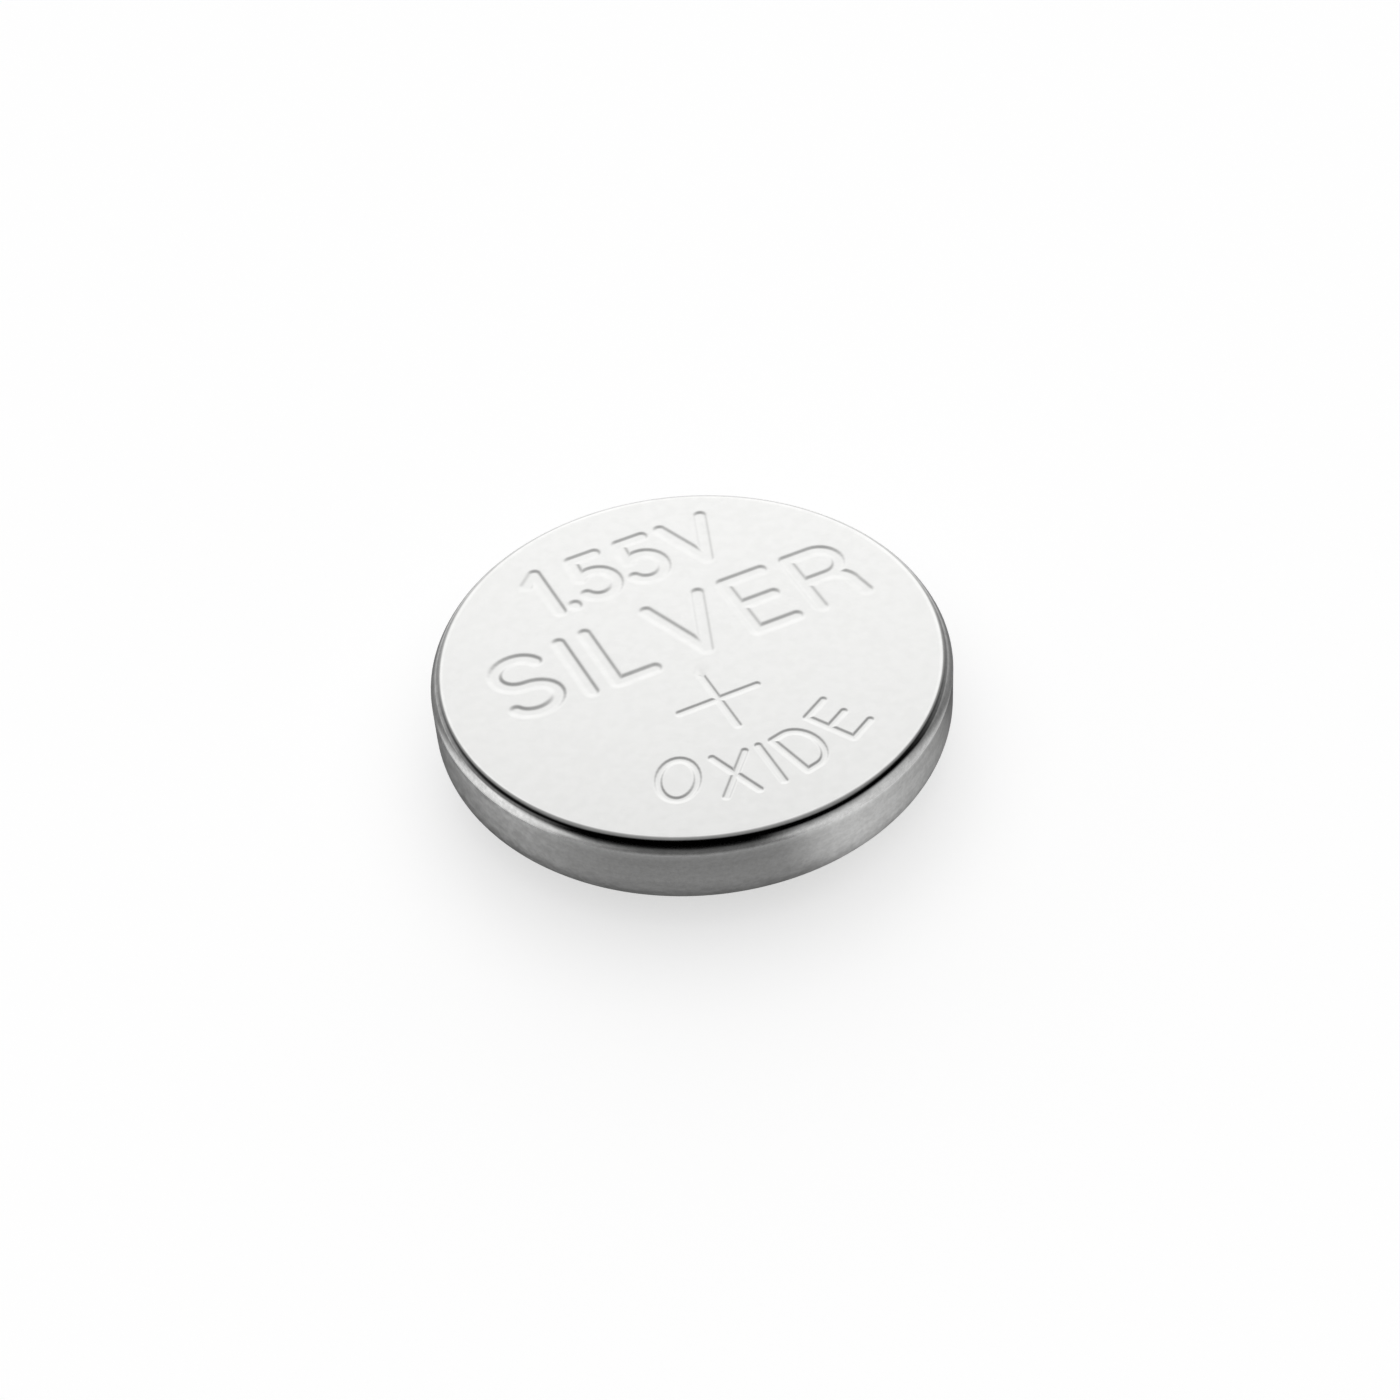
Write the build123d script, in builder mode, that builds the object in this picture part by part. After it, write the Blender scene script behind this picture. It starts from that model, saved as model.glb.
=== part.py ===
from build123d import *

import os

# A silver oxide button cell, as it lies with its positive face up. Millimetres, +Z up.
# The origin is the centre of the negative terminal's flat, on the plane that the cell rests on.
# Every piece is round, so each is one section in the XZ plane turned about the Z axis.

# Overall size
cell_diameter = 5.80
cell_height = 1.25

# Positive can: one cup of nickel plated steel sheet, its rim curled in over the seal
can_wall = 0.16
can_edge = 0.14  # outside radius between the face and the side wall
curl_bend = 0.22  # inside radius of the rim where it curls in
curl_angle = 90

# Negative cap: one cup of clad sheet, stepped, its skirt folded back on itself
cap_wall = 0.10
cap_stand_out = 0.25  # how far the cap's face stands below the curled rim
cap_corner = 0.06  # inside radius at the edge of the face
cap_bend = 0.03  # inside radius of the two bends of the shoulder
shoulder_width = 0.27  # from the step out to the skirt
skirt_length = 0.04  # straight part of the skirt, below the fold
fold_gap = 0.03  # slit between the two layers of the folded skirt
hem_length = 0.11  # straight part of the folded layer

# Sealing gasket: one moulded nylon ring, squeezed between the can and the cap
seal_wall = 0.14
seal_floor = 0.07  # nylon left between the curled rim and the cap's shoulder
seal_foot = 0.08  # nylon between the fold of the skirt and the separator
seal_overhang = 0.08  # how far the foot reaches inside the skirt
seal_bulge = 0.08  # how far the nylon comes down the cut edge of the rim
seal_recess = 0.03  # from the rim's lowest line up to the nylon, at the cap

# Contents: the pellet fills the height that the rest leaves under the can's ceiling
separator_thickness = 0.04
pellet_chamfer = 0.03
disc_clearance = 0.01  # round the edge of the pellet, the separator and the pad

# Radii, from the outside in
can_radius = cell_diameter / 2
can_inner_radius = can_radius - can_wall
hem_outer_radius = can_inner_radius - seal_wall
hem_inner_radius = hem_outer_radius - cap_wall
skirt_outer_radius = hem_inner_radius - fold_gap
skirt_inner_radius = skirt_outer_radius - cap_wall
foot_inner_radius = skirt_inner_radius - seal_overhang
cap_face_radius = skirt_outer_radius - shoulder_width

# Heights, from the cap's face up
curl_z = cap_stand_out + can_wall + curl_bend
shoulder_z = cap_stand_out + can_wall + seal_floor
fold_z = shoulder_z + cap_bend + cap_wall + skirt_length
hem_z = fold_z - hem_length
fold_top_z = fold_z + fold_gap / 2 + cap_wall
separator_z = fold_top_z + seal_foot
pellet_z = separator_z + separator_thickness
ceiling_z = cell_height - can_wall

# Middle of the cap's sheet, where the sections of its neighbours are closed
step_middle = cap_face_radius - cap_wall / 2
shoulder_middle_z = shoulder_z + cap_wall / 2
skirt_middle = skirt_outer_radius - cap_wall / 2
fold_middle = skirt_outer_radius + fold_gap / 2
fold_middle_z = fold_top_z - cap_wall / 2


# Positive can: the outer surface is drawn from the middle of the face to the lip,
# and the sheet lies on its inner side
with BuildPart() as positive_can:
    with BuildSketch(Plane.XZ) as can_section:
        with BuildLine():
            face = Line((0, cell_height), (can_radius, cell_height))
            side = Line(face @ 1, (can_radius, curl_z))
            JernArc(side @ 1, side % 1, curl_bend + can_wall, -curl_angle)
            offset(amount=can_wall, side=Side.RIGHT)
        make_face()
        fillet(can_section.vertices().sort_by_distance(face @ 1)[0], radius=can_edge)
    revolve(axis=Axis.Z)
positive_can.part.label = "positive_can"


# Negative cap: drawn along the side that faces down and into the fold, from the middle of
# the face, over the shoulder, up the skirt and down the hem; the sheet lies on its other side
with BuildPart() as negative_cap:
    with BuildSketch(Plane.XZ) as cap_section:
        with BuildLine():
            plate = Line((0, 0), (cap_face_radius - cap_corner - cap_wall, 0))
            corner = JernArc(plate @ 1, plate % 1, cap_corner + cap_wall, 90)
            step = Line(corner @ 1, (cap_face_radius, shoulder_z - cap_bend))
            root = JernArc(step @ 1, step % 1, cap_bend, -90)
            shoulder = Line(root @ 1, (skirt_outer_radius - cap_bend - cap_wall, shoulder_z))
            turn = JernArc(shoulder @ 1, shoulder % 1, cap_bend + cap_wall, 90)
            skirt = Line(turn @ 1, (skirt_outer_radius, fold_z))
            fold = JernArc(skirt @ 1, skirt % 1, fold_gap / 2, -180)
            Line(fold @ 1, (hem_inner_radius, hem_z))
            offset(amount=cap_wall, side=Side.LEFT)
        make_face()
    revolve(axis=Axis.Z)
negative_cap.part.label = "negative_cap"


# Sealing gasket: it takes the can's inner form on one side and the cap's outer form on the
# other, and shows as a ring between the can's lip and the cap's step
with BuildPart() as sealing_gasket:
    with BuildSketch(Plane.XZ):
        with BuildLine():
            foot = Line((foot_inner_radius, separator_z), (can_inner_radius, separator_z))
            wall = Line(foot @ 1, (can_inner_radius, curl_z))
            curl = JernArc(wall @ 1, wall % 1, curl_bend, -curl_angle)
            bulge = PolarLine(curl @ 1, seal_bulge, angle=-curl_angle)
            Polyline(
                bulge @ 1,
                (cap_face_radius, cap_stand_out + seal_recess),
                (step_middle, cap_stand_out + seal_recess),
                (step_middle, shoulder_middle_z),
                (skirt_middle, shoulder_middle_z),
                (fold_middle, fold_middle_z),
                (fold_middle, fold_top_z),
                (foot_inner_radius, fold_top_z),
                foot @ 0,
            )
        make_face()
        add(cap_section.sketch_local, mode=Mode.SUBTRACT)
        with Locations((skirt_middle, hem_z)):  # the slit of the fold stays empty
            Rectangle(
                cap_wall + fold_gap,
                hem_length + fold_gap / 2,
                align=(Align.MIN, Align.MIN),
                mode=Mode.SUBTRACT,
            )
    revolve(axis=Axis.Z)
sealing_gasket.part.label = "sealing_gasket"


# Cathode pellet: silver oxide powder pressed into the can, its upper rim bevelled by the punch
with BuildPart() as cathode_pellet:
    with BuildSketch(Plane.XY.offset(pellet_z)):
        Circle(can_inner_radius - disc_clearance)
    extrude(amount=ceiling_z - pellet_z)
    chamfer(cathode_pellet.edges().sort_by(Axis.Z)[-1], length=pellet_chamfer)
cathode_pellet.part.label = "cathode_pellet"


# Separator: a laminated membrane under the pellet, held up by the gasket's foot
with BuildPart() as separator:
    with BuildSketch(Plane.XY.offset(separator_z)):
        Circle(can_inner_radius - disc_clearance)
    extrude(amount=separator_thickness)
separator.part.label = "separator"


# Absorbent pad: a disc of non-woven fabric inside the gasket's foot, wet with electrolyte
with BuildPart() as absorbent_pad:
    with BuildSketch(Plane.XY.offset(fold_top_z)):
        Circle(foot_inner_radius - disc_clearance)
    extrude(amount=seal_foot)
absorbent_pad.part.label = "absorbent_pad"


# Zinc anode: gelled zinc powder that fills the cap up to the pad
with BuildPart() as zinc_anode:
    with BuildSketch(Plane.XZ):
        with BuildLine():
            Polyline(
                (0, cap_wall),
                (step_middle, cap_wall),
                (step_middle, shoulder_middle_z),
                (skirt_inner_radius, shoulder_middle_z),
                (skirt_inner_radius, fold_top_z),
                (0, fold_top_z),
                close=True,
            )
        make_face()
        add(cap_section.sketch_local, mode=Mode.SUBTRACT)
    revolve(axis=Axis.Z)
zinc_anode.part.label = "zinc_anode"


# One STEP file for each piece, in the order in which the cell is put together
os.makedirs("parts", exist_ok=True)
export_step(positive_can.part, "parts/positive_can.step")
export_step(cathode_pellet.part, "parts/cathode_pellet.step")
export_step(separator.part, "parts/separator.step")
export_step(sealing_gasket.part, "parts/sealing_gasket.step")
export_step(absorbent_pad.part, "parts/absorbent_pad.step")
export_step(zinc_anode.part, "parts/zinc_anode.step")
export_step(negative_cap.part, "parts/negative_cap.step")
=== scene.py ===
import math

import bmesh
import bpy
from mathutils import Matrix, Vector
from mathutils.kdtree import KDTree


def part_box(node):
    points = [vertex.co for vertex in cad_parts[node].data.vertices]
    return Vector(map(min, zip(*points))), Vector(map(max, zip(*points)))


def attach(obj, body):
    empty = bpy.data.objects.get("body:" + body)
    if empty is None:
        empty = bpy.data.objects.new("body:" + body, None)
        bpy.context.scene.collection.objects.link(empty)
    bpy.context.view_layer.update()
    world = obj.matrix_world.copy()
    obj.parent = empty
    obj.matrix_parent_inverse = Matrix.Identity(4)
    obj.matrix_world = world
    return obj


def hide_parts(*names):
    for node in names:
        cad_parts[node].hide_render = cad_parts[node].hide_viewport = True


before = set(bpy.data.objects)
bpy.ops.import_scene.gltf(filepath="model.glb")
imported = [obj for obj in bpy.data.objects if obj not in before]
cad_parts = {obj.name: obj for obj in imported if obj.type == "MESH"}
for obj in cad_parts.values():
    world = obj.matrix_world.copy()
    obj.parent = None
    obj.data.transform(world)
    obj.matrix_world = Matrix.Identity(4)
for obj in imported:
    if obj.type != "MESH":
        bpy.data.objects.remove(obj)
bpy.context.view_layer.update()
mm = 0.001  # pieces are drawn in millimetres and stored in metres
same = 1e-4  # places this close, in millimetres, are one
bpy.ops.object.select_all(action="DESELECT")


def cornersInMm(node):
    low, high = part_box(node)
    return low / mm, high / mm


canLow, canHigh = cornersInMm("positive_can")
capHigh = cornersInMm("negative_cap")[1]
print("frame loaded, cell", round(canHigh.z, 3), "mm high")


# drawing helpers


def polar(degrees, length=1.0):
    return Vector((math.cos(math.radians(degrees)) * length, math.sin(math.radians(degrees)) * length))


def arc(centre, radius, start, end, steps):
    # points on an arc, radius may be a pair for an ellipse
    across, up = radius if isinstance(radius, tuple) else (radius, radius)
    points = []
    for step in range(steps + 1):
        spot = polar(start + (end - start) * step / steps)
        points.append((centre[0] + across * spot.x, centre[1] + up * spot.y))
    return points


def drawPath(points):
    # in edit mode: a plane merged to one vertex, which is extruded from point to point
    bpy.ops.mesh.select_all(action="DESELECT")
    bpy.ops.mesh.primitive_plane_add(size=1, location=points[0])
    bpy.ops.mesh.merge(type="CENTER")
    for here, there in zip(points, points[1:]):
        bpy.ops.mesh.extrude_region_move(TRANSFORM_OT_translate={"value": Vector(there) - Vector(here)})


def newObject(name):
    # an empty mesh object in edit mode, made from a plane whose faces are taken away
    bpy.ops.object.select_all(action="DESELECT")
    bpy.ops.mesh.primitive_plane_add(size=1)
    obj = bpy.context.object
    obj.name = obj.data.name = name
    bpy.ops.object.mode_set(mode="EDIT")
    bpy.ops.mesh.select_mode(type="VERT")
    bpy.ops.mesh.delete(type="VERT")
    return obj


def turnSection(name, section, turns):
    # a section of (radius, height) points, turned about the cell's axis
    obj = newObject(name)
    drawPath([Vector((radius, 0, height)) for radius, height in section])
    bpy.ops.mesh.select_all(action="SELECT")
    bpy.ops.mesh.spin(steps=turns, angle=math.tau, center=(0, 0, 0), axis=(0, 0, 1))
    bpy.ops.mesh.select_all(action="SELECT")
    bpy.ops.mesh.remove_doubles(threshold=same)
    return obj


def pick(obj, kind, wanted):
    # select the faces, edges or vertices that wanted says yes to
    bpy.ops.mesh.select_mode(type=kind)
    bpy.ops.mesh.select_all(action="DESELECT")
    mesh = bmesh.from_edit_mesh(obj.data)
    items = {"FACE": mesh.faces, "EDGE": mesh.edges, "VERT": mesh.verts}[kind]
    for item in items:
        if wanted(item):
            item.select_set(True)
    mesh.select_flush_mode()
    bmesh.update_edit_mesh(obj.data)


def closePiece(obj, smoothAngle=40):
    # normals outwards, smooth shading, and from millimetres to the frame's metres
    bpy.ops.mesh.select_all(action="SELECT")
    bpy.ops.mesh.normals_make_consistent(inside=False)
    bpy.ops.object.mode_set(mode="OBJECT")
    bpy.ops.object.shade_smooth_by_angle(angle=math.radians(smoothAngle))
    obj.data.transform(Matrix.Scale(mm, 4))


# the positive can


can = {
    "wall": 0.16,
    # radii of the edge between the face and the side wall, from the face down, and the slope
    # in degrees that each one ends at
    "edge": ((0.10, 33), (0.45, 24), (0.15, 0)),
    "curl": 0.38,  # outside radius of the rim where it curls in
    "turns": 192,
    "edgeSteps": 7,
    "curlSteps": 16,
    "flatRing": 0.03,  # narrow flat ring that keeps the rounding's shading off the face
    "ringEnd": 0.005,  # from the ring's last line to the rounding
    "lipRound": 0.02,
    "lipSteps": 3,
}


def edgeSection(outer, top):
    # where two arcs meet, their centres and the point lie on one line; the arcs are laid out from
    # the face down and then moved out to the side wall
    points, centre, begin, before = [], Vector((0, top)), 90, 0
    for radius, end in can["edge"]:
        centre += polar(begin, before - radius)
        points += arc(centre, radius, begin, end, can["edgeSteps"])[bool(points):]
        begin, before = end, radius
    out = outer - points[-1][0]
    return [(x + out, y) for x, y in points]


def canSection():
    outer, top, bottom = canHigh.x, canHigh.z, canLow.z
    edge = edgeSection(outer, top)
    curlCentre = (outer - can["curl"], bottom + can["curl"])
    section = [(edge[0][0] - can["flatRing"], top), (edge[0][0] - can["ringEnd"], top)]
    section += edge
    section += arc(curlCentre, can["curl"], 0, -90, can["curlSteps"])
    section += arc(curlCentre, can["curl"] - can["wall"], -90, 0, can["curlSteps"])
    section += [(outer - can["wall"], top - can["wall"])]
    return section


canShell = turnSection("canShell", canSection(), can["turns"])
faceRadius = canSection()[0][0]
lipRadius = canHigh.x - can["curl"]
canCeiling = canHigh.z - can["wall"]


def onLip(edge):
    # the two round edges where the sheet of the rim ends
    first, second = (v.co for v in edge.verts)
    level = abs(first.z - second.z) < same and first.z < canLow.z + can["wall"] + same
    return level and all(abs(place.xy.length - lipRadius) < same for place in (first, second))


def openAt(height):
    return lambda edge: edge.is_boundary and all(abs(v.co.z - height) < same for v in edge.verts)


pick(canShell, "EDGE", onLip)
bpy.ops.mesh.bevel(offset=can["lipRound"], segments=can["lipSteps"], affect="EDGES")
pick(canShell, "EDGE", openAt(canCeiling))
bpy.ops.mesh.edge_face_add()
pick(canShell, "EDGE", openAt(canHigh.z))
bpy.ops.mesh.fill_grid(span=can["turns"] // 4)
bpy.ops.mesh.select_all(action="SELECT")
bpy.ops.mesh.normals_make_consistent(inside=False)
print("can turned")


# the stamp in the face: strokes of one round punch, drawn as lines and pressed in


stamp = {
    "spacing": 0.02,  # between the points that say where the strokes are
    "deepest": 0.04,  # nothing of the face lies deeper
    "faceShare": 0.75,  # of a face's longest side, added to the reach when faces are chosen
    # depth, half of the groove's flat floor, from the stroke's middle to the flat face,
    # and how many times the face's grid is halved there
    "wide": {"depth": 0.0096, "floorHalf": 0.034, "reach": 0.100, "levels": 3},
    "fine": {"depth": 0.0070, "floorHalf": 0.012, "reach": 0.058, "levels": 4},
}

# letters on a height of 1: how wide, and the lines of the punch
letters = {
    "S": (
        0.62,
        [
            arc((0.31, 0.745), (0.30, 0.255), 25, 270, 20)
            + arc((0.31, 0.245), (0.31, 0.245), 90, -155, 20)[1:],
        ],
    ),
    "I": (0.0, [[(0, 0), (0, 1)]]),
    "L": (0.50, [[(0, 1), (0, 0), (0.50, 0)]]),
    "V": (0.72, [[(0, 1), (0.36, 0), (0.72, 1)]]),
    "E": (0.54, [[(0.54, 1), (0, 1), (0, 0), (0.54, 0)], [(0, 0.52), (0.48, 0.52)]]),
    "R": (
        0.64,
        [
            [(0, 0), (0, 1)] + arc((0.36, 0.75), 0.25, 90, -90, 15) + [(0, 0.50)],
            arc((0.34, 0.24), (0.26, 0.26), 75, 0, 6) + [(0.64, 0)],
        ],
    ),
    "1": (0.22, [[(0, 0.80), (0.22, 1), (0.22, 0)]]),
    ".": (0.0, [[(0, 0.0), (0, 0.02)]]),
    "5": (0.56, [[(0.50, 1), (0.09, 1), (0.05, 0.54)] + arc((0.26, 0.315), (0.30, 0.315), 130, -150, 22)]),
    "O": (0.70, [arc((0.35, 0.5), (0.35, 0.5), 90, 450, 30)]),
    "X": (0.60, [[(0, 0), (0.60, 1)], [(0, 1), (0.60, 0)]]),
    "D": (0.62, [[(0.24, 0), (0, 0), (0, 1)] + arc((0.24, 0.5), (0.38, 0.5), 90, -90, 18)]),
}

wordLine = {"text": "SILVER", "height": 0.90, "gap": 0.315, "middle": 0.08, "base": 0.01}
topLine = {"text": "1.55V", "height": 0.73, "gap": 0.195, "middle": 0.02, "base": 1.40}
lowArc = {"text": "OXIDE", "height": 0.60, "gap": 0.225, "middle": -91.0, "radius": 2.24}
plusSign = {"middle": (-0.04, -0.78), "arm": 0.47}


def lettersInARow(line):
    # every stroke of a line of text, with how far its letter stands from the line's middle
    widths = [letters[letter][0] * line["height"] for letter in line["text"]]
    left = -(sum(widths) + line["gap"] * (len(widths) - 1)) / 2
    for letter in line["text"]:
        wide, strokes = letters[letter]
        for stroke in strokes:
            points = [((x - wide / 2) * line["height"], y * line["height"]) for x, y in stroke]
            yield left + wide * line["height"] / 2, points
        left += wide * line["height"] + line["gap"]


def straightStrokes(line):
    for aside, points in lettersInARow(line):
        yield [(line["middle"] + aside + x, line["base"] + y, canHigh.z) for x, y in points]


def arcStrokes(line):
    # each letter stands on the arc with its foot outwards
    for aside, points in lettersInARow(line):
        angle = math.radians(line["middle"] + 90) + aside / (line["radius"] - line["height"] / 2)
        turn = Matrix.Rotation(angle, 3, "Z")
        yield [turn @ Vector((x, y - line["radius"], canHigh.z)) for x, y in points]


def plusStrokes():
    x, y = plusSign["middle"]
    arm = plusSign["arm"]
    yield [(x - arm, y, canHigh.z), (x + arm, y, canHigh.z)]
    yield [(x, y - arm, canHigh.z), (x, y + arm, canHigh.z)]


def spotsAlong(obj, spacing):
    # points along every stroke, in a tree that finds the nearest one
    spots = []
    for edge in obj.data.edges:
        start, end = (obj.data.vertices[i].co for i in edge.vertices)
        parts = math.ceil((end - start).length / spacing)
        spots += [start.lerp(end, part / parts) for part in range(parts + 1)]
    tree = KDTree(len(spots))
    for number, spot in enumerate(spots):
        tree.insert(spot, number)
    tree.balance()
    return tree


def pressStamp(groove, strokes):
    # the strokes are drawn as a die, the face's grid is made finer near it, and it is pressed in
    bpy.ops.object.mode_set(mode="OBJECT")
    die = newObject("stampDie")
    for stroke in strokes:
        drawPath(stroke)
    bpy.ops.object.mode_set(mode="OBJECT")
    spots = spotsAlong(die, stamp["spacing"])

    def nearStroke(face):
        middle = face.calc_center_median()
        if middle.z < canHigh.z - stamp["deepest"] or middle.xy.length > faceRadius:
            return False
        size = max(edge.calc_length() for edge in face.edges)
        return spots.find(middle)[2] < groove["reach"] + size * stamp["faceShare"]

    bpy.ops.object.select_all(action="DESELECT")
    bpy.context.view_layer.objects.active = canShell
    canShell.select_set(True)
    bpy.ops.object.mode_set(mode="EDIT")
    for _ in range(groove["levels"]):
        pick(canShell, "FACE", nearStroke)
        bpy.ops.mesh.subdivide(number_cuts=1)
    bpy.ops.object.mode_set(mode="OBJECT")
    pressed = canShell.vertex_groups.new(name="pressed")
    onFace = [v.index for v in canShell.data.vertices if v.co.z > canHigh.z - stamp["deepest"]]
    pressed.add(onFace, 1.0, "REPLACE")
    near = canShell.modifiers.new("near", "VERTEX_WEIGHT_PROXIMITY")
    near.vertex_group, near.target = "pressed", die
    near.proximity_mode, near.proximity_geometry = "GEOMETRY", {"EDGE"}
    near.min_dist, near.max_dist = groove["reach"], groove["floorHalf"]
    near.falloff_type = "SMOOTH"
    press = canShell.modifiers.new("press", "DISPLACE")
    press.direction, press.vertex_group = "Z", "pressed"
    press.strength, press.mid_level = -groove["depth"], 0
    for modifier in ("near", "press"):
        bpy.ops.object.modifier_apply(modifier=modifier)
    canShell.vertex_groups.clear()
    bpy.data.objects.remove(die)
    bpy.ops.object.mode_set(mode="EDIT")


pressStamp(stamp["wide"], [*straightStrokes(wordLine), *straightStrokes(topLine)])
pressStamp(stamp["fine"], [*arcStrokes(lowArc), *plusStrokes()])
closePiece(canShell)
print("stamp pressed:", sum(len(p.vertices) - 2 for p in canShell.data.polygons), "triangles in the can")


# the negative cap


cap = {
    "wall": 0.10,
    "faceRadius": 2.20,
    "corner": 0.16,  # outside radius at the edge of the face
    "bend": 0.03,
    "shoulder": 0.48,  # height of the shoulder's underside
    "skirt": 2.47,  # outside radius of the skirt
    "fold": 0.65,  # height where the skirt folds back
    "slit": 0.03,
    "hem": 0.54,  # lowest line of the folded layer
    "rings": (1.02, 2.00, 2.03),  # lines that keep the shading of the face flat
    "turns": 160,
    # steps of the inner and the outer arc
    "cornerSteps": (6, 12),
    "bendSteps": (4, 8),
    "foldSteps": (6, 12),
}


def capBends():
    # the centres of the arcs in the cap's section, from the face up to the fold
    wall, bend, skirt = cap["wall"], cap["bend"], cap["skirt"]
    corner = (cap["faceRadius"] - cap["corner"], cap["corner"])
    root = (cap["faceRadius"] + bend, cap["shoulder"] - bend)
    turn = (skirt - bend - wall, cap["shoulder"] + bend + wall)
    fold = (skirt + cap["slit"] / 2, cap["fold"])
    return corner, root, turn, fold


def capSection():
    wall, bend, slit = cap["wall"], cap["bend"], cap["slit"]
    corner, root, turn, fold = capBends()
    inCorner, outCorner = cap["cornerSteps"]
    inBend, outBend = cap["bendSteps"]
    inFold, outFold = cap["foldSteps"]
    section = [(0, 0)] + [(radius, 0) for radius in cap["rings"]]
    section += arc(corner, cap["corner"], -90, 0, outCorner)
    section += arc(root, bend, 180, 90, inBend)
    section += arc(turn, bend + wall, -90, 0, outBend)
    section += arc(fold, slit / 2, 180, 0, inFold)
    section += [(cap["skirt"] + slit, cap["hem"]), (cap["skirt"] + slit + wall, cap["hem"])]
    section += arc(fold, slit / 2 + wall, 0, 180, outFold)
    section += arc(turn, bend, 0, -90, inBend)
    section += arc(root, bend + wall, 90, 180, outBend)
    section += arc(corner, cap["corner"] - wall, 0, -90, inCorner)
    section += [(0, wall)]
    return section


capShell = turnSection("capShell", capSection(), cap["turns"])
closePiece(capShell)
print("cap turned")


# the sealing ring


seal = {
    "foot": 0.08,  # thickness over the cap's fold
    "footInner": 2.29,
    "atLip": 0.33,  # height of the nylon at the lip and at the cap
    "atCap": 0.28,
    "crown": 0.018,  # how far the squeezed nylon bulges between them
    "crownSteps": 8,
    "bendSteps": 6,
    "turns": 160,
}


def sealSection():
    wall, bend, steps = cap["wall"], cap["bend"], seal["bendSteps"]
    root, turn, fold = capBends()[1:]
    hem = (cap["skirt"] + cap["slit"] + wall, cap["hem"])
    reach = math.degrees(math.asin((hem[1] - turn[1]) / (bend + wall)))
    top = capHigh.z + seal["foot"]
    curlCentre = (lipRadius, canLow.z + can["curl"])
    section = [(seal["footInner"], top), (canHigh.x - can["wall"], top)]
    section += arc(curlCentre, can["curl"] - can["wall"], 0, -90, can["curlSteps"])
    for step in range(seal["crownSteps"] + 1):
        share = step / seal["crownSteps"]
        radius = lipRadius + (cap["faceRadius"] - lipRadius) * share
        height = seal["atLip"] + (seal["atCap"] - seal["atLip"]) * share
        section.append((radius, height - seal["crown"] * 4 * share * (1 - share)))
    section += arc(root, bend, 180, 90, cap["bendSteps"][0])
    section += arc(turn, bend + wall, -90, reach, steps)
    section += [hem]
    section += arc(fold, cap["slit"] / 2 + wall, 0, 90, steps)
    section += [(seal["footInner"], capHigh.z), (seal["footInner"], top)]
    return section


sealRing = turnSection("sealRing", sealSection(), seal["turns"])
closePiece(sealRing)
print("seal turned")


# materials


class Wire:
    # a shader socket in a sum; each sum adds its Math node
    def __init__(self, graph, socket):
        self.graph, self.socket = graph, socket

    def __add__(self, other):
        return self.graph.maths("ADD", self, other)

    def __sub__(self, other):
        return self.graph.maths("SUBTRACT", self, other)

    def __rsub__(self, other):
        return self.graph.maths("SUBTRACT", other, self)

    def __mul__(self, other):
        return self.graph.maths("MULTIPLY", self, other)

    def __truediv__(self, other):
        return self.graph.maths("DIVIDE", self, other)

    def __pow__(self, other):
        return self.graph.maths("POWER", self, other)

    __radd__, __rmul__ = __add__, __mul__


class Graph:
    def __init__(self, tree):
        self.tree = tree
        tree.nodes.clear()

    def add(self, kind, settings=None, inputs=None, output=0):
        # settings first, then the values or links of the sockets; output may be a list of outputs
        node = self.tree.nodes.new("ShaderNode" + kind)
        for key, value in (settings or {}).items():
            setattr(node, key, value)
        for key, value in (inputs or {}).items():
            if isinstance(value, Wire):
                self.tree.links.new(value.socket, node.inputs[key])
            else:
                node.inputs[key].default_value = value
        if isinstance(output, list):
            return [Wire(self, node.outputs[key]) for key in output]
        return Wire(self, node.outputs[output]) if len(node.outputs) else node

    def maths(self, operation, *values):
        return self.add("Math", {"operation": operation}, dict(enumerate(values)))

    def smooth(self, value, start, end):
        # 0 at start, 1 at end, eased at both
        return self.add("MapRange", {"interpolation_type": "SMOOTHSTEP"}, {0: value, 1: start, 2: end})

    def noise(self, place, scale, detail=2.0, rough=0.5):
        inputs = {"Vector": place, "Scale": scale, "Detail": detail, "Roughness": rough}
        return self.add("TexNoise", None, inputs)

    def stretch(self, place, scale):
        return self.add("Mapping", {"vector_type": "POINT"}, {"Vector": place, "Scale": scale})

    def mix(self, factor, first, second):
        return self.add("Mix", {"data_type": "RGBA"}, {0: factor, 6: first, 7: second}, 2)


def newMaterial(name):
    # with the place on the piece in millimetres
    material = bpy.data.materials.new(name)
    material.use_nodes = True
    graph = Graph(material.node_tree)
    inMetres = graph.add("TexCoord", output="Object")
    place = graph.add("VectorMath", {"operation": "SCALE"}, {0: inMetres, "Scale": 1 / mm})
    return material, graph, place


def finishMaterial(graph, colour, roughness, height, depth, **steady):
    # height times depth is the relief; steady values are the same all over and are set on the
    # shader itself
    relief = {"Strength": 1.0, "Distance": depth * mm, "Height": height}
    inputs = {"Base Color": colour, "Roughness": roughness, "Normal": graph.add("Bump", None, relief)}
    inputs.update({key.replace("_", " "): value for key, value in steady.items()})
    shader = graph.add("BsdfPrincipled", None, inputs)
    graph.add("OutputMaterial", None, {"Surface": shader})


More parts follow.
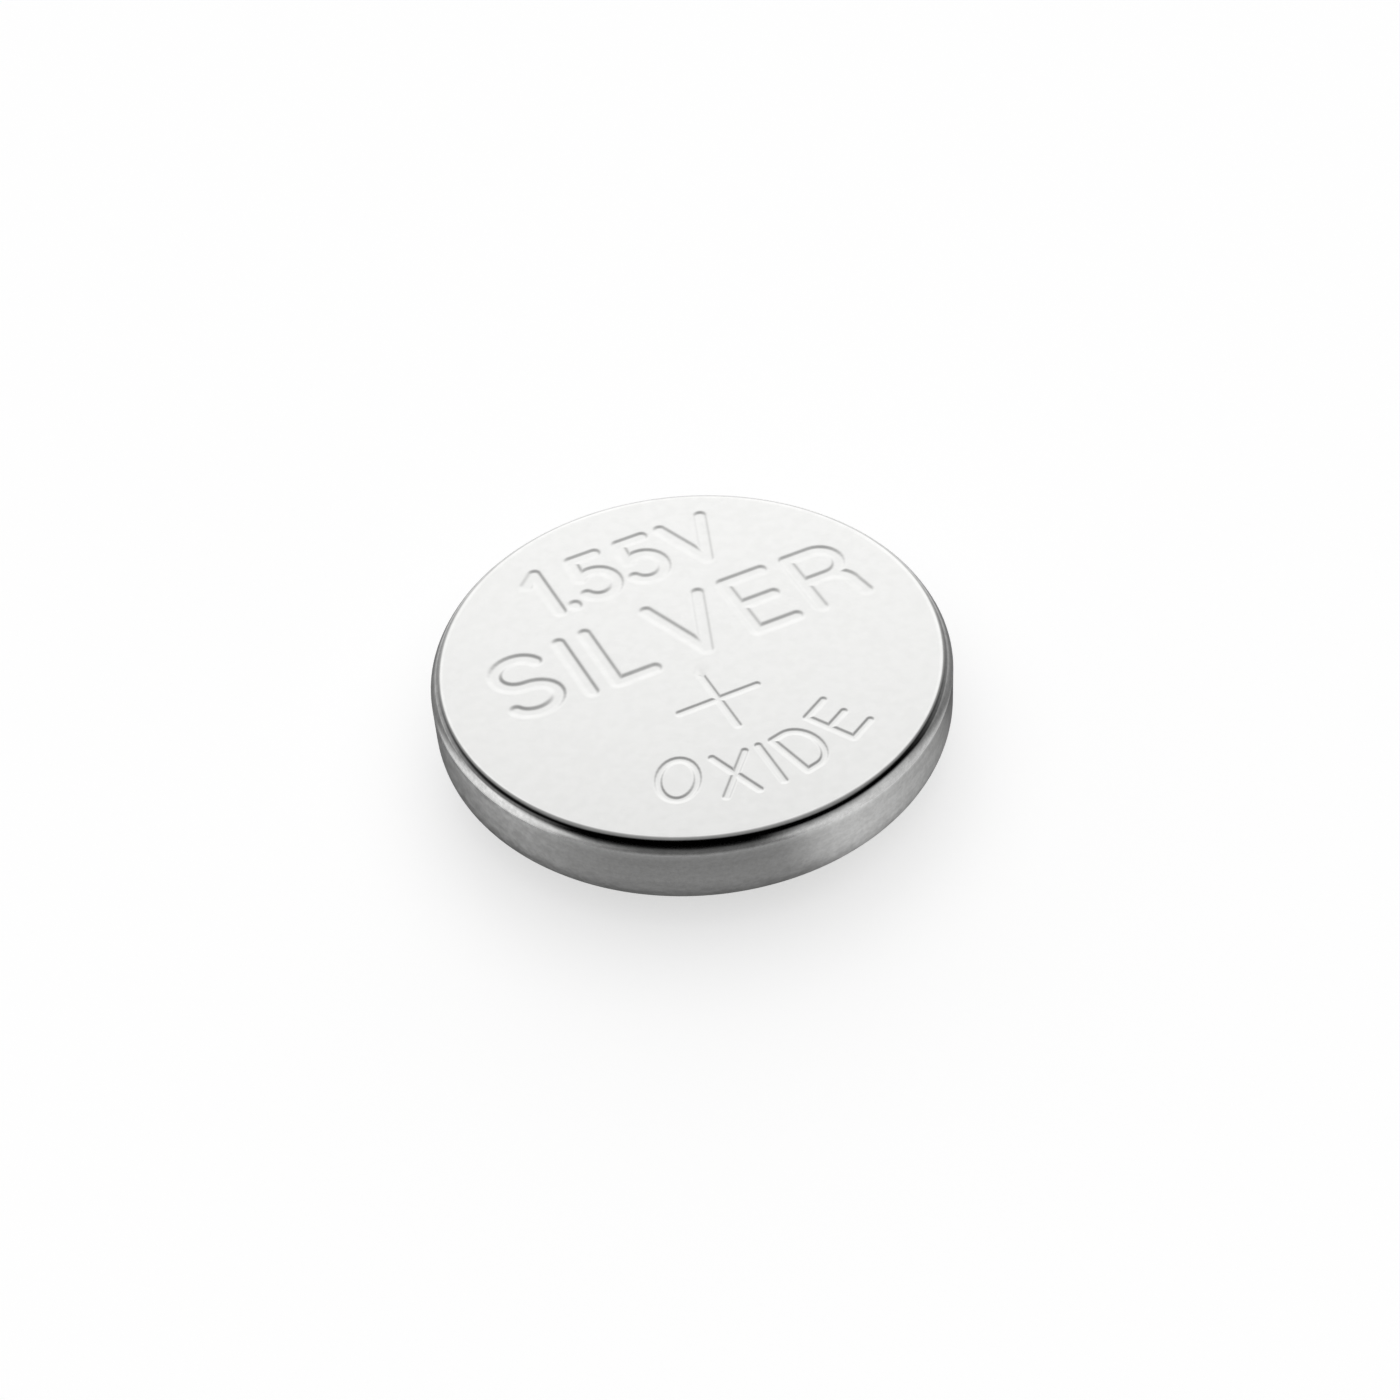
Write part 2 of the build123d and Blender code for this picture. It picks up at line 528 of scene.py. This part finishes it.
canFinish = {
    "faceColour": (0.845, 0.845, 0.835, 1),
    "faceDull": (0.79, 0.79, 0.78, 1),
    "faceRange": (0.35, 0.65),  # of the noise, from dull to bright
    "wallColour": (0.70, 0.70, 0.695, 1),
    "wallDull": (0.52, 0.52, 0.515, 1),
    "wallRange": (0.33, 0.67),
    # painted shade: the dark colour that the wall runs into towards the crimp, in place of the shadow under
    # the cell
    "paintedShadeColour": (0.10, 0.10, 0.10, 1),
    "paintedShadeHeights": (0.75, 0.40),  # heights between which the wall darkens towards the crimp: painted shade for the floor's shadow under the cell
    "paintedShadeWaver": 0.2,
    "paintedShade": 0.45,  # how much of the painted shade there is at the most
    "wallRim": (0.42, 0.42, 0.42, 1),  # tint of the wall where it is seen along its surface
    "faceRough": 0.22,
    "faceUneven": 0.10,  # how far the roughness goes up and down with the noise
    "edgeRough": 0.13,
    "wallRough": 0.43,
    "wallUneven": 0.25,
    "drawn": 0.7,  # how much more the drawing lines scatter up and down than along
    "drawnTurn": 0.25,  # a quarter turn, so that they run round the wall
    "polished": (0.045, 0.075),  # outside the flat, where the polish of the coining die ends
    "wallBelow": (0.05, 0.10),  # below the face, where the wall's colour starts
    "smooth": (0.05, 0.24),  # below the face, where the surface gets as rough as the wall
    "smoothWaver": 0.05,
    "relief": 0.0012,  # how far the noise stands up and down
}


def nickelCan(name, drawn=False):
    # the coined face and edge, or the side wall with the marks of the drawing die
    material, graph, place = newMaterial(name)
    x, y, z = graph.add("SeparateXYZ", None, {0: place}, [0, 1, 2])
    radius = (x * x + y * y) ** 0.5
    below = canHigh.z - z
    clouds = graph.noise(place, scale=1.6, detail=3.0)
    grain = graph.noise(place, scale=7.0, detail=3.0)
    marks = graph.noise(graph.stretch(place, (7, 7, 13)), scale=1.0, detail=4.0, rough=0.6)
    bands = graph.noise(graph.stretch(place, (0.5, 0.5, 9)), scale=1.0, detail=3.0, rough=0.6)
    speckle = graph.noise(place, scale=24.0)

    # where the surface is edge, wall or rough
    edge = graph.smooth(radius, faceRadius, faceRadius + can["flatRing"])
    start, end = canFinish["polished"]
    outside = graph.smooth(radius, faceRadius + start, faceRadius + end)
    wall = graph.maths("MAXIMUM", outside, graph.smooth(below, *canFinish["wallBelow"]))
    rough = graph.smooth(below + (marks - 0.5) * canFinish["smoothWaver"], *canFinish["smooth"])

    bright = graph.smooth(clouds * 0.4 + grain * 0.6, *canFinish["faceRange"])
    faceColour = graph.mix(bright, canFinish["faceDull"], canFinish["faceColour"])
    worn = graph.smooth(marks * 0.5 + bands * 0.25 + speckle * 0.25, *canFinish["wallRange"])
    wallColour = graph.mix(worn, canFinish["wallDull"], canFinish["wallColour"])
    # painted shade: the wall's colour darkens towards the crimp at the bottom, standing in for the shadow of
    # the floor under the cell
    paintedShade = graph.smooth(z + (marks - 0.5) * canFinish["paintedShadeWaver"], *canFinish["paintedShadeHeights"])
    wallColour = graph.mix(paintedShade * canFinish["paintedShade"], wallColour, canFinish["paintedShadeColour"])
    colour = graph.mix(wall, faceColour, wallColour)

    faceRough = canFinish["faceRough"] + ((grain - 0.5) + (clouds - 0.5)) * canFinish["faceUneven"]
    faceRough = faceRough * (1 - edge) + edge * canFinish["edgeRough"]
    wallRough = canFinish["wallRough"] + (marks - 0.5) * canFinish["wallUneven"]
    roughness = faceRough * (1 - rough) + wallRough * rough
    faceHeight = (grain * 0.16 + clouds * 0.2) * (1 - edge)
    height = faceHeight * (1 - rough) + (marks * 1.6 + bands * 0.6 + speckle * 0.5) * rough
    steady = {}
    if drawn:
        steady["Anisotropic"] = canFinish["drawn"]
        steady["Anisotropic_Rotation"] = canFinish["drawnTurn"]
        steady["Specular_Tint"] = canFinish["wallRim"]
    finishMaterial(graph, colour, roughness, height, canFinish["relief"], Metallic=1.0, **steady)
    return material


capFinish = {
    "colour": (0.61, 0.61, 0.605, 1),
    "dull": (0.52, 0.52, 0.52, 1),
    "rough": 0.30,
    "relief": 0.0012,
}


def nickelCap():
    material, graph, place = newMaterial("nickelCap")
    clouds = graph.noise(place, scale=1.1, detail=3.0)
    grain = graph.noise(place, scale=12.0, detail=4.0, rough=0.6)
    colour = graph.mix(clouds * 0.5 + grain * 0.5, capFinish["dull"], capFinish["colour"])
    roughness = capFinish["rough"] + (grain - 0.5) * 0.2 + (clouds - 0.5) * 0.1
    finishMaterial(graph, colour, roughness, grain * 0.6 + clouds, capFinish["relief"], Metallic=1.0)
    return material


sealFinish = {
    "pale": (0.84, 0.83, 0.76, 1),
    "dark": (0.74, 0.72, 0.63, 1),
    "rough": 0.38,
    "relief": 0.002,
}


def nylonSeal():
    material, graph, place = newMaterial("nylonSeal")
    clouds = graph.noise(place, scale=1.5, detail=3.0)
    grain = graph.noise(place, scale=14.0, detail=3.0)
    colour = graph.mix(clouds, sealFinish["dark"], sealFinish["pale"])
    roughness = sealFinish["rough"] + grain * 0.2
    finishMaterial(graph, colour, roughness, grain + clouds, sealFinish["relief"])
    return material


powderRelief = 0.01


def powder(name, dark, light, scale, rough, metal):
    # pressed or gelled powder, and the pad's felt
    material, graph, place = newMaterial(name)
    grains = graph.noise(place, scale, detail=5.0, rough=0.7)
    lumps = graph.noise(place, scale / 6, detail=3.0)
    colour = graph.mix(grains * 0.7 + lumps * 0.3, dark, light)
    finishMaterial(graph, colour, rough + (grains - 0.5) * 0.2, grains, powderRelief, Metallic=metal)
    return material


# what is sealed in: material, dark and light colour, grains in a millimetre, roughness, metal
contents = {
    "cathode_pellet": ("pressedOxide", (0.03, 0.03, 0.032, 1), (0.10, 0.10, 0.105, 1), 30, 0.75, 0.0),
    "separator": ("membrane", (0.70, 0.72, 0.74, 1), (0.85, 0.86, 0.87, 1), 12, 0.55, 0.0),
    "absorbent_pad": ("padFelt", (0.78, 0.78, 0.75, 1), (0.93, 0.93, 0.91, 1), 22, 0.85, 0.0),
    "zinc_anode": ("zincGel", (0.30, 0.31, 0.33, 1), (0.55, 0.56, 0.58, 1), 26, 0.45, 0.6),
}
for node, finish in contents.items():
    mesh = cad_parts[node].data
    mesh.materials.clear()
    mesh.materials.append(powder(*finish))

for piece, materials, node, slot in (
    (canShell, (nickelCan("nickelFace"), nickelCan("nickelWall", drawn=True)), "positive_can", "can_metal"),
    (capShell, (nickelCap(),), "negative_cap", "cap_metal"),
    (sealRing, (nylonSeal(),), "sealing_gasket", "seal_nylon"),
):
    piece.data.materials.clear()
    for material in materials:
        piece.data.materials.append(material)
    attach(piece, "root")
    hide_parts(node)
for face in canShell.data.polygons:  # the wall's material starts where its finish is reached
    face.material_index = int(face.center.z / mm < canHigh.z - canFinish["smooth"][1])
print("materials made")


# the floor, the light and the camera


studio = {
    "floorSize": 1.2,
    "floorGap": 0.005,  # keeps the floor and the cap's face apart
    "floorColour": (0.68, 0.68, 0.68, 1),
    "floorGlow": 0.61,
    "overhead": (1.1, 100),  # the soft top light's strength and its width in degrees
    # the panel that the face mirrors: polar angle, cosines at its ends and in its middle, sines of
    # the elevation where it starts and where it ends, and strength
    "panel": {"towards": 65, "width": (0.88, 0.98), "from": (0.05, 0.25), "top": (0.64, 0.95), "glow": 1.18},
    # soft cards round the cell, which only the metal's reflections see: polar angle, cosines at the
    # ends and in the middle, distance from the cell where each begins, sine of the elevation where it
    # ends, and strength, which is negative for the black one
    "cards": (
        {"towards": 174, "width": (0.84, 0.99), "from": (3.7, 5.0), "top": (-0.02, 0.19), "glow": 0.95},
        {"towards": 142, "width": (0.60, 0.95), "from": (60, 90), "top": (0.36, 0.66), "glow": 0.27},
        {"towards": -54, "width": (0.78, 0.97), "from": None, "top": (0.02, 0.45), "glow": 0.60},
        {"towards": 65, "width": (0.72, 0.94), "from": (4.5, 7.0), "top": (0.02, 0.24), "glow": 0.55},
        {"towards": 65, "width": (0.10, 0.70), "from": (4.5, 7.0), "top": (0.30, 0.75), "glow": 0.26},
        {"towards": -113, "width": (0.30, 0.90), "from": None, "top": (0.00, 0.10), "glow": 0.23},
        {"towards": -113, "width": (0.75, 0.97), "from": (3.5, 7.0), "top": (0.00, 0.10), "glow": -0.32},
    ),
    "between": 0.25,  # the even light that the cards stand in, up to a low elevation
    "betweenTop": (0.00, 0.22),
    # the ceiling over the cell and its far side, without the two sides
    "ceiling": {"near": (-0.25, 0.05), "from": (0.05, 0.30), "aside": (0.35, 0.65), "glow": 0.31},
    "cellEdge": (2.2, 2.5),  # the floor under the cell, which only the cap's face mirrors, is even
    "underCell": 0.60,
    "backdrop": 0.985,  # what the camera sees above the floor
    "white": (1, 1, 1, 1),
}


def along(graph, direction, angle):
    # how far a direction points towards a polar angle
    axis = polar(angle)
    inputs = {0: direction, 1: (axis.x, axis.y, 0)}
    return graph.add("VectorMath", {"operation": "DOT_PRODUCT"}, inputs, "Value")


def cardsAround(graph, flat, away=None, up=None):
    # how bright the cards are in a level direction: on the floor by the distance from the cell,
    # above it by the elevation
    level = studio["between"]
    if up:
        level = (1 - graph.smooth(up, *studio["betweenTop"])) * level
    for card in studio["cards"]:
        share = graph.smooth(along(graph, flat, card["towards"]), *card["width"])
        if away and card["from"]:
            share = share * graph.smooth(away, *card["from"])
        if up:
            share = share * (1 - graph.smooth(up, *card["top"]))
        level = level + share * card["glow"]
    return level


def layFloor():
    bpy.ops.mesh.primitive_plane_add(size=studio["floorSize"], location=(0, 0, -studio["floorGap"] * mm))
    floor = bpy.context.object
    floor.name = "floor"
    material = bpy.data.materials.new("paleFloor")
    material.use_nodes = True
    graph = Graph(material.node_tree)
    rays = ["Is Camera Ray", "Is Glossy Ray", "Is Transmission Ray"]
    camera, glossy, through = graph.add("LightPath", None, None, rays)

    # pale and lit for the camera, and the cards for the metal's reflections
    inputs = {"Color": studio["white"], "Strength": (camera + through) * studio["floorGlow"]}
    glow = graph.add("Emission", None, inputs)
    lit = graph.add("BsdfDiffuse", None, {"Color": studio["floorColour"]})
    pale = graph.add("AddShader", None, {0: lit, 1: glow})
    place = graph.add("TexCoord", output="Object")
    flat = graph.add("VectorMath", {"operation": "NORMALIZE"}, {0: place})
    away = graph.add("VectorMath", {"operation": "LENGTH"}, {0: place}, "Value") / mm
    outside = graph.smooth(away, *studio["cellEdge"])
    level = cardsAround(graph, flat, away) * outside + (1 - outside) * studio["underCell"]
    cards = graph.add("Emission", None, {"Color": studio["white"], "Strength": level})
    front = graph.add("MixShader", None, {0: glossy, 1: pale, 2: cards})

    # from below it is clear, so that the cell's underside can be seen
    behind = graph.add("NewGeometry", output="Backfacing")
    surface = graph.add("MixShader", None, {0: behind, 1: front, 2: graph.add("BsdfTransparent")})
    graph.add("OutputMaterial", None, {"Surface": surface})
    floor.data.materials.append(material)


def lightStudio():
    world = bpy.data.worlds.new("studio")
    bpy.context.scene.world = world
    world.use_nodes = True
    graph = Graph(world.node_tree)
    ray = graph.add("TexCoord", output="Generated")
    up = graph.add("SeparateXYZ", None, {0: ray}, 2)
    flat = graph.add("VectorMath", {"operation": "MULTIPLY"}, {0: ray, 1: (1, 1, 0)})
    flat = graph.add("VectorMath", {"operation": "NORMALIZE"}, {0: flat})

    panel, ceiling = studio["panel"], studio["ceiling"]
    over = graph.smooth(along(graph, ray, panel["towards"]), *ceiling["near"])
    aside = graph.maths("ABSOLUTE", along(graph, ray, panel["towards"] + 90))
    over = over * graph.smooth(up, *ceiling["from"]) * (1 - graph.smooth(aside, *ceiling["aside"]))
    level = cardsAround(graph, flat, None, up) + over * ceiling["glow"]
    share = graph.smooth(along(graph, flat, panel["towards"]), *panel["width"])
    share = share * graph.smooth(up, *panel["from"]) * (1 - graph.smooth(up, *panel["top"]))
    level = level * (1 - share) + share * panel["glow"]
    seen = graph.add("LightPath", output="Is Camera Ray")
    level = level * (1 - seen) + seen * studio["backdrop"]
    back = graph.add("Background", None, {"Color": studio["white"], "Strength": level})
    graph.add("OutputWorld", None, {"Surface": back})

    strength, width = studio["overhead"]
    lamp = bpy.data.objects.new("overhead", bpy.data.lights.new("overhead", "SUN"))
    bpy.context.scene.collection.objects.link(lamp)
    lamp.data.energy, lamp.data.angle = strength, math.radians(width)
    lamp.visible_glossy = False


view = {
    "towards": -113,  # polar angle of the camera about the cell's axis
    "elevation": 42.28,
    "distance": 30.0,
    "roll": -4.345,
    "lens": 69.7,
    "sensor": 36,
    "clip": (1, 5000),
    "aside": (0.10627, -0.49151),  # how far the aim lies right of and above the face's middle
}


def setCamera():
    camera = bpy.data.objects.new("camera", bpy.data.cameras.new("camera"))
    bpy.context.scene.collection.objects.link(camera)
    camera.data.lens, camera.data.sensor_width = view["lens"], view["sensor"]
    camera.data.clip_start, camera.data.clip_end = (distance * mm for distance in view["clip"])
    elevation = math.radians(view["elevation"])
    side = polar(view["towards"], math.cos(elevation))
    offset = Vector((side.x, side.y, math.sin(elevation))) * view["distance"]
    roll = Matrix.Rotation(math.radians(view["roll"]), 3, "Z").to_quaternion()
    turn = (-offset).to_track_quat("-Z", "Y") @ roll
    right, above = view["aside"]
    look = turn @ Vector((right, above, 0)) - offset  # from the camera to the aim
    camera.location = (Vector((0, 0, canHigh.z)) + offset) * mm
    camera.rotation_mode = "QUATERNION"
    camera.rotation_quaternion = look.to_track_quat("-Z", "Y") @ roll
    bpy.context.scene.camera = camera


layFloor()
lightStudio()
setCamera()
bpy.context.scene.view_settings.view_transform = "Standard"
print("studio set")
